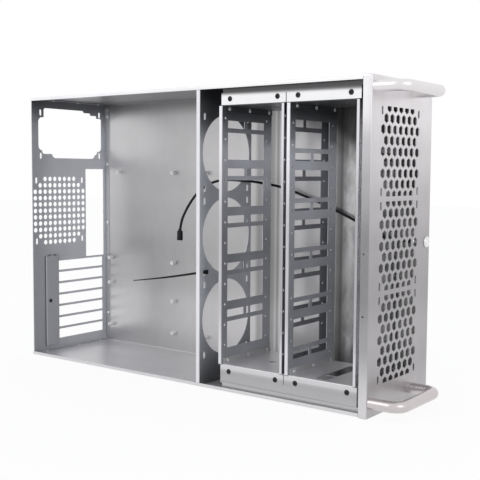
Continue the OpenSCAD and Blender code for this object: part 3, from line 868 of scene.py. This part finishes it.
def stitch(mesh: Mesh, rings: Sequence[Sequence[Corner]]) -> None:
    """Joins each ring of corners to the next.

    Args:
        mesh: The mesh.
        rings: The rings in order, where a ring of one corner is a tip.
    """
    for near, far in zip(rings, rings[1:]):
        count = max(len(near), len(far))
        for j in range(count):
            k = (j + 1) % count
            if len(near) == 1:
                mesh.faces.new((near[0], far[k], far[j]))
            elif len(far) == 1:
                mesh.faces.new((near[j], near[k], far[0]))
            else:
                mesh.faces.new((near[j], near[k], far[k], far[j]))


def tube(line: Sequence[Vector], radius: float, sides: int) -> Mesh:
    """Sweeps a round section along a line, with closed ends.

    Args:
        line: Points of the centreline.
        radius: Radius of the section.
        sides: Number of sides.

    Returns:
        The mesh.
    """
    made = bmesh.new()
    rings = []
    side = None
    for k, point in enumerate(line):
        way = (line[min(k + 1, len(line) - 1)] - line[max(k - 1, 0)]).normalized()
        if side is None:
            side = way.cross(Vector((0, 1, 0.01))).normalized()
        side = (side - way * side.dot(way)).normalized()
        other = way.cross(side)
        rings.append(ring_of(made, point, side, other, radius, sides))
    stitch(made, rings)
    made.faces.new(list(reversed(rings[0])))
    made.faces.new(rings[-1])
    return made


def to_piece(name: str, mesh: Mesh, smooth: bool = True) -> Piece:
    """Turns a mesh into a scene object.

    Args:
        name: Name of the piece.
        mesh: The mesh, which is freed.
        smooth: Whether its faces are shaded smooth.

    Returns:
        The object.
    """
    bmesh.ops.recalc_face_normals(mesh, faces=mesh.faces)
    data = bpy.data.meshes.new(name)
    for face in mesh.faces:
        face.smooth = smooth
    mesh.to_mesh(data)
    mesh.free()
    if smooth:
        data.set_sharp_from_angle(angle=SHARP)
    piece = bpy.data.objects.new(name, data)
    bpy.context.scene.collection.objects.link(piece)
    return piece


def turned(
    mesh: Mesh,
    profile: Sequence[Sequence[float]],
    foot: Vector,
    way: Vector,
    start: Vector | None = None,
    sides: int = 24,
) -> None:
    """Turns a profile round an axis and adds the solid to a mesh.

    Args:
        mesh: The mesh that it is added to.
        profile: Radius, height and, where the ring is cut to a hexagon, its width across flats, in mm.
        foot: Where height 0 is, in the row frame.
        way: Direction of the axis.
        start: Direction of the first corner.
        sides: Number of sides, a multiple of six for a hexagon.
    """
    side = (start or way.orthogonal()).normalized()
    other = way.cross(side)
    rings = []
    for radius, height, *flats in profile:
        middle = foot + way * (height * MM)
        if radius == 0:
            rings.append([mesh.verts.new(middle)])
            continue
        ring = []
        for j in range(sides):
            angle = 2 * math.pi * j / sides
            reach = radius
            if flats:
                off = (angle + math.pi / 6) % (math.pi / 3) - math.pi / 6
                reach = min(radius, flats[0] / 2 / math.cos(math.pi / 6 - abs(off)))
            corner = side * math.cos(angle) + other * math.sin(angle)
            ring.append(mesh.verts.new(middle + corner * reach * MM))
        rings.append(ring)
    stitch(mesh, rings)


def block(mesh: Mesh, low: Triple, high: Triple, bevel: float = 0.3) -> None:
    """Adds a block with broken edges.

    Args:
        mesh: The mesh that it is added to.
        low: Lowest corner in tray millimetres.
        high: Highest corner in tray millimetres.
        bevel: Width of the broken edges in millimetres.
    """
    made = bmesh.ops.create_cube(mesh, size=1.0)["verts"]
    low_m, high_m = at(*low), at(*high)
    for vert in made:
        for k in range(3):
            vert.co[k] = high_m[k] if vert.co[k] > 0 else low_m[k]
    edges = list({edge for vert in made for edge in vert.link_edges})
    bmesh.ops.bevel(mesh, geom=edges, offset=bevel * MM, segments=2, profile=0.5, affect="EDGES")


def lumps(node: str) -> list[list[Vector]]:
    """Finds the separate solids of a CAD node.

    Args:
        node: Name of the node.

    Returns:
        The corner points of each solid, in the row frame.
    """
    made = bmesh.new()
    made.from_mesh(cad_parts[node].data)
    bmesh.ops.remove_doubles(made, verts=made.verts, dist=CAD_JOIN)
    left = set(made.verts)
    found = []
    for first in made.verts:
        if first not in left:
            continue
        left.remove(first)
        reached, points = [first], []
        while reached:
            vert = reached.pop()
            points.append(vert.co.copy())
            for edge in vert.link_edges:
                other = edge.other_vert(vert)
                if other in left:
                    left.remove(other)
                    reached.append(other)
        found.append(points)
    made.free()
    return found


def box_of(points: Sequence[Vector]) -> tuple[Vector, Vector]:
    """Gives the box round some points.

    Args:
        points: The points.

    Returns:
        Its lowest and its highest corner.
    """
    low = Vector([min(p[k] for p in points) for k in range(3)])
    high = Vector([max(p[k] for p in points) for k in range(3)])
    return low, high


@dataclass
class Fitting:
    """What every small piece needs: its name, the node that it stands for, its slot, which nothing uses, and
    its body.
    """

    name: str
    node: str
    slot: str
    body: str = CHASSIS

    def place(self, wardrobe: Wardrobe, mesh: Mesh, finish: Finish) -> Piece:
        """Makes the piece, dresses it, ties it to its body and hides the node that it stands for.

        Args:
            wardrobe: Where its finish comes from.
            mesh: Its mesh, which is freed.
            finish: Its finish.

        Returns:
            The piece.
        """
        piece = to_piece(self.name, mesh)
        wardrobe.dress(piece, finish)
        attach(piece, self.body)
        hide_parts(self.node)
        LOG.info("piece %s stands for %s", self.name, self.node)
        return piece


@dataclass
class BlindRivets:
    """Domed blind rivets, with the broken pin in the middle of each head."""

    groups: tuple[str, ...] = ("rear_rivets", "fan_wall_rivets", "rail_rivets", "cage_rivets", "front_rivets")
    head: float = 6.0
    shank: float = 3.2
    pin: float = 1.8
    rim: float = 0.97

    def profile(self, grip: float) -> list[tuple[float, float]]:
        """Gives the profile of a rivet, whose head starts at height 0.

        Args:
            grip: Length of the shank.

        Returns:
            Radius and height of each ring.
        """
        r, s, p = self.head / 2, self.shank / 2, self.pin / 2
        return [
            (0, -grip), (s - 0.3, -grip), (s, 0.3 - grip), (s, 0), (r, 0), (r, 0.2), (r - 0.2, 0.42),
            (r - 0.7, 0.68), (r - 1.3, 0.84), (p + 0.3, 0.9), (p + 0.1, 0.86), (p, 0.7), (p, 0.35),
            (p - 0.25, 0.3), (p - 0.5, 0.42), (0, 0.42),
        ]

    def build(self, wardrobe: Wardrobe) -> None:
        """Makes one piece for each group of rivets.

        Args:
            wardrobe: Where the finish comes from.
        """
        for group in self.groups:
            mesh = bmesh.new()
            for points in lumps(group):
                low, high = box_of(points)
                size = high - low
                axis = min(range(3), key=lambda k: size[k])
                middle = (low + high) / 2
                flat = [Vector([0 if k == axis else (p - middle)[k] for k in range(3)]) for p in points]
                widest = max(s.length for s in flat)
                levels = [p[axis] for p, s in zip(points, flat) if s.length > widest * self.rim]
                level = sum(levels) / len(levels)
                way = Vector([0.0, 0.0, 0.0])
                way[axis] = 1.0 if level > middle[axis] else -1.0
                foot = middle.copy()
                foot[axis] = level
                tail = low[axis] if way[axis] > 0 else high[axis]
                turned(mesh, self.profile(abs(level - tail) / MM), foot, way)
            Fitting(f"{group}_domed", group, "rivet_metal").place(wardrobe, mesh, wardrobe.finishes.rivet)


@dataclass(frozen=True)
class CrossScrew:
    """A round-headed screw with a cross recess."""

    radius: float = 3.8
    rise: float = 1.85
    ball: float = 5.2
    shank: float = 1.6
    length: float = 5.9
    arm: float = 2.0
    width: float = 0.85
    depth: float = 1.0
    taper: float = 0.25
    edge: float = 0.16
    end: float = 0.5
    rings: int = 26
    sides: int = 64

    def sink(self, x: float, y: float) -> float:
        """Gives how deep the recess is at a place on the head.

        Args:
            x: Place along one arm.
            y: Place along the other.

        Returns:
            The depth in millimetres.
        """
        share = 0.0
        for along, across in ((abs(x), abs(y)), (abs(y), abs(x))):
            half = self.width / 2 * (1 - self.taper * along / self.arm)
            side = min(1.0, max(0.0, (half - across) / self.edge + 0.5))
            end = min(1.0, max(0.0, (self.arm - along) / self.end))
            share = max(share, side * end)
        return share * self.depth

    def add(self, mesh: Mesh, foot: Vector, way: Vector) -> None:
        """Adds one screw to a mesh.

        Args:
            mesh: The mesh.
            foot: Middle of the head's underside, in the row frame.
            way: Direction from the underside to the top of the head.
        """
        side = way.orthogonal().normalized()
        other = way.cross(side)
        crown = self.rise - self.ball
        rings = [[mesh.verts.new(foot + way * ((self.rise - self.sink(0, 0)) * MM))]]
        for k in range(1, self.rings + 1):
            reach = self.radius * k / self.rings
            ring = []
            for j in range(self.sides):
                x = reach * math.cos(2 * math.pi * j / self.sides)
                y = reach * math.sin(2 * math.pi * j / self.sides)
                height = crown + math.sqrt(self.ball**2 - reach**2) - self.sink(x, y)
                ring.append(mesh.verts.new(foot + (side * x + other * y + way * height) * MM))
            rings.append(ring)
        for reach, height in ((self.radius, 0.0), (self.shank, 0.0), (self.shank, -self.length)):
            rings.append(ring_of(mesh, foot + way * (height * MM), side, other, reach * MM, self.sides))
        stitch(mesh, rings)
        mesh.faces.new(rings[-1])


@dataclass
class Screws:
    """The screws of the cages, of the handles and of the slot bracket."""

    cage: CrossScrew = CrossScrew()
    handle: CrossScrew = CrossScrew(3.5, 2.5, 5.6, 1.55, 9.5)
    bracket: CrossScrew = CrossScrew(3.2, 1.9, 4.6, 1.55, 5.1)

    def build(self, wardrobe: Wardrobe) -> None:
        """Makes one piece for each group of screws.

        Args:
            wardrobe: Where the finishes come from.
        """
        kinds = (
            ("cage_screws", self.cage, -Vector(DEEP), wardrobe.finishes.screw, "black_screw"),
            ("handle_screws", self.handle, Vector(BACK), wardrobe.finishes.post, "bright_fastener"),
            ("slot_bracket_screw", self.bracket, Vector(ACROSS), wardrobe.finishes.screw, "black_screw"),
        )
        for node, kind, way, finish, slot in kinds:
            mesh = bmesh.new()
            for points in lumps(node):
                low, high = box_of(points)
                foot = (low + high) / 2
                axis = max(range(3), key=lambda k: abs(way[k]))
                foot[axis] = (high[axis] if way[axis] > 0 else low[axis]) - way[axis] * kind.rise * MM
                kind.add(mesh, foot, way)
            Fitting(f"{node}_crossed", node, slot).place(wardrobe, mesh, finish)


@dataclass
class BoardPosts:
    """Threaded hexagonal posts on the base plate, with turned corners and a countersunk thread."""

    flats: float = 6.0
    corner: float = 3.3
    foot: float = 4.2
    height: float = 9.0
    bore: float = 2.5
    pitch: float = 0.5
    sides: int = 48

    def build(self, wardrobe: Wardrobe) -> None:
        """Makes all posts as one piece.

        Args:
            wardrobe: Where the finish comes from.
        """
        mesh = bmesh.new()
        af, b = self.flats, self.bore / 2
        thread = []
        level = self.height - 0.5
        while level > 1.0:
            thread += [(b, level), (b - 0.12, level - self.pitch / 2)]
            level -= self.pitch
        for points in lumps("board_standoffs"):
            low, high = box_of(points)
            foot = (low + high) / 2
            foot.y = low.y + self.height * MM
            below = (foot.y - high.y) / MM
            profile = [
                (b, below), (self.foot / 2, below), (self.foot / 2, 0.0), (self.corner - 0.2, 0.0, af),
                (4.0, 0.25, af), (4.0, self.height - 0.35, af), (self.corner - 0.25, self.height, af),
                (b + 0.35, self.height), *thread, (b, below),
            ]
            turned(mesh, profile, foot, -Vector(DEEP), Vector(ACROSS), self.sides)
        bmesh.ops.remove_doubles(mesh, verts=mesh.verts, dist=PROFILE_JOIN)
        Fitting("board_posts_threaded", "board_standoffs", "bright_fastener").place(
            wardrobe, mesh, wardrobe.finishes.post
        )


@dataclass
class PowerSwitch:
    """The switch in the front panel: collar and barrel, nut, button and the sleeve on its contacts."""

    seat: Triple = (653.0, 165.3, 219.5)
    collar: float = 8.0
    barrel: float = 6.0
    button: float = 5.8
    bore: float = 5.84
    sleeve: float = 5.0
    pitch: float = 0.58
    threads: int = 24
    contact_z: float = 2.6

    def build(self, wardrobe: Wardrobe) -> None:
        """Makes the pieces of the switch.

        Args:
            wardrobe: Where the finishes come from.
        """
        seat, out = at(*self.seat), Vector(ACROSS)
        finishes = wardrobe.finishes
        c, b, f = self.collar, self.barrel, self.button
        thread = []
        for k in range(self.threads):
            thread += [(b - 0.3, -16.0 + k * self.pitch), (b, -15.7 + k * self.pitch)]
        mesh = bmesh.new()
        profile = [
            (0, -17), (b - 0.6, -17), (b - 0.3, -16.7), *thread, (b, 0), (c - 0.3, 0), (c, 0.25), (c, 1.25),
            (c - 0.2, 1.75), (c - 0.7, 2.15), (c - 1.2, 2.3), (b + 0.25, 2.3), (self.bore + 0.12, 2.15),
            (self.bore, 1.8), (self.bore, -6), (0, -6),
        ]
        turned(mesh, profile, seat, out, sides=64)
        x, y, z = self.seat
        for way in (-1, 1):
            middle = z + way * self.contact_z
            block(mesh, (x - 20, y - 1, middle - 0.3), (x - 16.5, y + 1, middle + 0.3), 0.1)
        Fitting("switch_collar", "switch_barrel", "switch_metal").place(wardrobe, mesh, finishes.switch)

        mesh = bmesh.new()
        profile = [
            (0, -4.5), (f, -4.5), (f, 2.1), (f - 0.1, 2.45), (f - 0.35, 2.72), (f - 0.8, 2.88),
            (f - 1.2, 2.9), (f - 1.7, 2.84), (2.2, 2.7), (0, 2.66),
        ]
        turned(mesh, profile, seat, out, sides=64)
        button = Fitting("switch_button", "power_button", "switch_metal", BUTTON)
        button.place(wardrobe, mesh, finishes.switch)

        mesh = bmesh.new()
        profile = [
            (b + 0.05, -3.9), (7.3, -3.9), (9.0, -3.35, 15.0), (9.0, -2.05, 15.0), (7.6, -1.55),
            (b + 0.05, -1.55), (b + 0.05, -3.9),
        ]
        turned(mesh, profile, seat, out, Vector(UP), 48)
        bmesh.ops.remove_doubles(mesh, verts=mesh.verts, dist=PROFILE_JOIN)
        Fitting("switch_hexagon_nut", "switch_nut", "switch_metal").place(wardrobe, mesh, finishes.post)

        mesh = bmesh.new()
        s = self.sleeve
        profile = [
            (0, 0), (s - 0.3, 0), (s, 0.5), (s - 0.1, 3), (s - 0.9, 6), (s - 2.0, 9), (s - 2.6, 12),
            (s - 2.75, 15), (s - 2.9, 15.2), (0, 15.2),
        ]
        turned(mesh, profile, at(x - 17.2, y, z), -out, sides=32)
        sleeve = to_piece("switch_lead_sleeve", mesh)
        wardrobe.dress(sleeve, finishes.sleeve)
        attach(sleeve, CHASSIS)
        LOG.info("piece switch_lead_sleeve covers the contacts")


@dataclass
class LeadPlug:
    """The small two-way socket at the end of the lead."""

    top: Triple = (267.0, 79.0, 222.0)
    width: float = 8.0
    depth: float = 5.0
    length: float = 15.0
    wall: float = 0.9
    mouth: float = 4.5
    ribs: int = 3

    def build(self, wardrobe: Wardrobe) -> Piece:
        """Makes the socket.

        Args:
            wardrobe: Where its finish comes from.

        Returns:
            The socket.
        """
        x, y, z = self.top
        w, d, low, t = self.width / 2, self.depth / 2, z - self.length, self.wall
        mesh = bmesh.new()
        block(mesh, (x - w, y - d, low + 4), (x + w, y + d, z), 0.5)
        top = low + self.mouth
        for sign in (-1, 1):
            near, far = sorted((x + sign * w, x + sign * (w - t)))
            block(mesh, (near, y - d, low), (far, y + d, top), 0.2)
            near, far = sorted((y + sign * d, y + sign * (d - t)))
            block(mesh, (x - w, near, low), (x + w, far, top), 0.2)
            latch = x + sign * 1.9
            block(mesh, (latch - 0.9, y - d - 0.25, z - 6), (latch + 0.9, y - d + 0.5, z - 3), 0.15)
        block(mesh, (x - 0.4, y - d, low), (x + 0.4, y + d, top), 0.15)
        for k in range(self.ribs):
            level = z - 8 - k
            rib = (x - w - 0.2, y - d - 0.15, level - 0.2), (x + w + 0.2, y + d + 0.15, level + 0.2)
            block(mesh, *rib, 0.08)
        neck = [(0, 0), (3.0, 0), (2.9, 1.5), (2.3, 3.2), (2.15, 4), (0, 4)]
        turned(mesh, neck, at(x, y, z - 0.5), Vector(UP))
        return Fitting("lead_socket", "switch_lead_plug", "black_plastic").place(
            wardrobe, mesh, wardrobe.finishes.nylon
        )


@dataclass
class NylonTie:
    """A tie through a screw slot of the fan wall: a toothed tail and a square head."""

    root: Triple = (373.1, 12.0, 169.5)
    length: float = 146.0
    drop: float = 9.5
    sag: float = 1.2
    thickness: float = 1.2
    teeth: int = 110
    tooth: float = 0.14
    toothed: tuple[float, float] = (0.03, 0.8)
    half: float = 1.8
    bend: float = 0.45
    taper: float = 0.3
    tip_taper: float = 0.8

    def build(self, wardrobe: Wardrobe) -> None:
        """Makes the tie.

        Args:
            wardrobe: Where its finish comes from.
        """
        x, y, z = self.root
        mesh = bmesh.new()
        slope = math.radians(self.drop)
        rings = []
        steps = 2 * self.teeth
        for k in range(steps + 1):
            u = k / steps
            along = self.length * u
            px = x - along * math.cos(slope)
            pz = z - along * math.sin(slope) - self.sag * math.sin(math.pi * u)
            half = self.half - self.taper * min(1.0, u / self.bend)
            half -= self.tip_taper * max(0.0, u - self.bend) / (1 - self.bend)
            tooth = self.tooth if k % 2 and self.toothed[0] < u < self.toothed[1] else 0.0
            near, far = y - self.thickness / 2 + tooth, y + self.thickness / 2
            edge = min(0.35, half * 0.4)
            section = (
                (near, -half + edge), (near, half - edge), (near + 0.35, half), (far - 0.3, half),
                (far, half - edge), (far, -half + edge), (far - 0.3, -half), (near + 0.35, -half),
            )
            rings.append([mesh.verts.new(at(px, py, pz + pw)) for py, pw in section])
        stitch(mesh, rings)
        mesh.faces.new(rings[0])
        mesh.faces.new(list(reversed(rings[-1])))
        head = (
            ((0, -3, -3), (1.4, 3, 3), 0.4), ((3.6, -3, -3), (5, 3, 3), 0.4),
            ((0.6, -3, -3), (4.4, 3, -1.9), 0.4), ((0.6, -3, 1.9), (4.4, 3, 3), 0.4),
            ((2.6, -1.2, -2.4), (3.9, 1.8, 2.4), 0.3),
        )
        for *corners, bevel in head:
            low, high = (tuple(a + b for a, b in zip(self.root, corner)) for corner in corners)
            block(mesh, low, high, bevel)
        Fitting("tie_toothed", "cable_tie", "black_plastic").place(wardrobe, mesh, wardrobe.finishes.nylon)


@dataclass
class SwitchLead:
    """The black lead from the switch to its plug."""

    diameter: float = 0.004
    sides: int = 16
    steps: int = 240
    route: tuple[Triple, ...] = (
        (633, 165.3, 219.5), (624, 165.3, 219.5), (610, 165.5, 219.5), (594, 166, 221),
        (576, 167, 226), (557, 167.5, 235), (537, 167.5, 245), (516, 167.5, 254),
        (494, 167.5, 263), (470, 167.5, 272), (447, 167, 280), (424, 164, 288),
        (405, 156, 294.5), (390, 138, 299), (381, 120, 302), (373, 100, 303.5),
        (362, 88, 304.5), (348, 81, 303.5), (332, 79, 299.5), (316, 79, 292),
        (301, 79, 281), (289, 79, 268), (279, 79, 254), (271.5, 79, 240), (267, 79, 222),
    )

    def build(self, wardrobe: Wardrobe, plug: Piece) -> None:
        """Args:
            wardrobe: Where its finish comes from.
            plug: The plug at its end; not used.
        """
        line = smooth_line(self.route, self.steps)
        measured = sum((b - a).length for a, b in zip(line, line[1:]))
        LOG.info("lead measures %.4f m", measured)
        lead = to_piece("switch_lead_tube", tube(line, self.diameter / 2, self.sides))
        wardrobe.dress(lead, wardrobe.finishes.sleeve)
        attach(lead, CHASSIS)
        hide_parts("switch_lead")


@dataclass(frozen=True)
class Lamp:
    """A soft round lamp: its place, what it is aimed at, its width in metres and its power in watts."""

    name: str
    place: Triple
    aim: Triple
    size: float
    power: float

    def hang(self) -> None:
        """Makes the lamp and turns it to its aim."""
        data = bpy.data.lights.new(self.name, "AREA")
        data.shape = "DISK"
        data.size = self.size
        data.energy = self.power
        lamp = bpy.data.objects.new(self.name, data)
        bpy.context.scene.collection.objects.link(lamp)
        lamp.location = self.place
        away = Vector(self.place) - Vector(self.aim)
        lamp.rotation_mode = "QUATERNION"
        lamp.rotation_quaternion = away.to_track_quat("Z", "Y")


@dataclass
class Studio:
    """Camera, soft light, white background and pale floor."""

    place: Triple = (0.842311, -1.079275, 0.318366)
    yaw: float = 0.646
    pitch: float = -0.077
    roll: float = 0.006
    lens: float = 66.193
    sensor: float = 36.0
    lamps: tuple[Lamp, ...] = (
        Lamp("key", (-0.9, -1.9, 1.7), (0.0, 0.0, 0.2), 1.6, 9.0),
        Lamp("fill", (1.9, -0.6, 1.1), (0.2, 0.0, 0.2), 1.2, 5.0),
    )
    floor_size: float = 14.0
    sky_light: float = 0.9
    floor_glow: float = 0.92

    def camera(self) -> None:
        """Makes the photograph's camera and makes it the scene's."""
        cy, sy, cp, sp = math.cos(self.yaw), math.sin(self.yaw), math.cos(self.pitch), math.sin(self.pitch)
        ahead = Vector((-sy * cp, cy * cp, sp))
        right = Vector((cy, sy, 0.0))
        up = right.cross(ahead)
        cr, sr = math.cos(self.roll), math.sin(self.roll)
        right, up = right * cr + up * sr, up * cr - right * sr
        data = bpy.data.cameras.new("camera")
        data.lens = self.lens
        data.sensor_width = self.sensor
        data.clip_start, data.clip_end = 0.01, 60.0
        camera = bpy.data.objects.new("camera", data)
        bpy.context.scene.collection.objects.link(camera)
        rows = Matrix((right, up, -ahead)).transposed().to_4x4()
        camera.matrix_world = Matrix.Translation(self.place) @ rows
        bpy.context.scene.camera = camera

    def world(self) -> None:
        """Makes the world: white where the camera, metal or glass sees it, soft light elsewhere."""
        world = bpy.data.worlds.new("studio")
        world.use_nodes = True
        bpy.context.scene.world = world
        recipe = Recipe(world.node_tree)
        seen = recipe.seen_by("Is Camera Ray", "Is Glossy Ray", "Is Transmission Ray")
        sky = {"Color": (0.93, 0.95, 1.0, 1.0), "Strength": self.sky_light}
        light = recipe.add("ShaderNodeBackground", {}, sky)
        white = recipe.add("ShaderNodeBackground", {}, {"Color": (1.0, 1.0, 1.0, 1.0), "Strength": 1.0})
        mixed = recipe.add("ShaderNodeMixShader", {}, {0: seen, 1: light, 2: white})
        recipe.add("ShaderNodeOutputWorld", {}, {"Surface": mixed})

    def floor(self) -> None:
        """Lays the pale floor."""
        mesh = bmesh.new()
        bmesh.ops.create_grid(mesh, x_segments=1, y_segments=1, size=self.floor_size / 2)
        floor = to_piece("studio_floor", mesh, smooth=False)
        material, recipe = new_material("pale_floor")
        seen = recipe.seen_by("Is Camera Ray", "Is Glossy Ray")
        matte = recipe.add("ShaderNodeBsdfDiffuse", {}, {"Color": (0.9, 0.9, 0.9, 1.0)})
        glow = recipe.add("ShaderNodeEmission", {}, {"Color": (1.0, 1.0, 1.0, 1.0), "Strength": 1.0})
        mixed = recipe.add("ShaderNodeMixShader", {}, {0: seen * self.floor_glow, 1: matte, 2: glow})
        recipe.add("ShaderNodeOutputMaterial", {}, {"Surface": mixed})
        floor.data.materials.append(material)

    def build(self) -> None:
        """Sets up the world, the lamps and the floor."""
        self.world()
        for lamp in self.lamps:
            lamp.hang()
        self.floor()
        bpy.context.scene.view_settings.view_transform = "Standard"


def main() -> None:
    """Builds the scene in order: camera, lead, finishes, pieces and studio."""
    logging.basicConfig(level=logging.INFO, format="%(name)s: %(message)s")
    studio = Studio()
    studio.camera()
    wardrobe = Wardrobe(Finishes())
    SwitchLead().build(wardrobe, LeadPlug().build(wardrobe))
    wardrobe.dress_nodes()
    for piece in (BlindRivets(), Screws(), BoardPosts(), PowerSwitch(), NylonTie()):
        piece.build(wardrobe)
    studio.build()


if __name__ == "__main__":
    main()
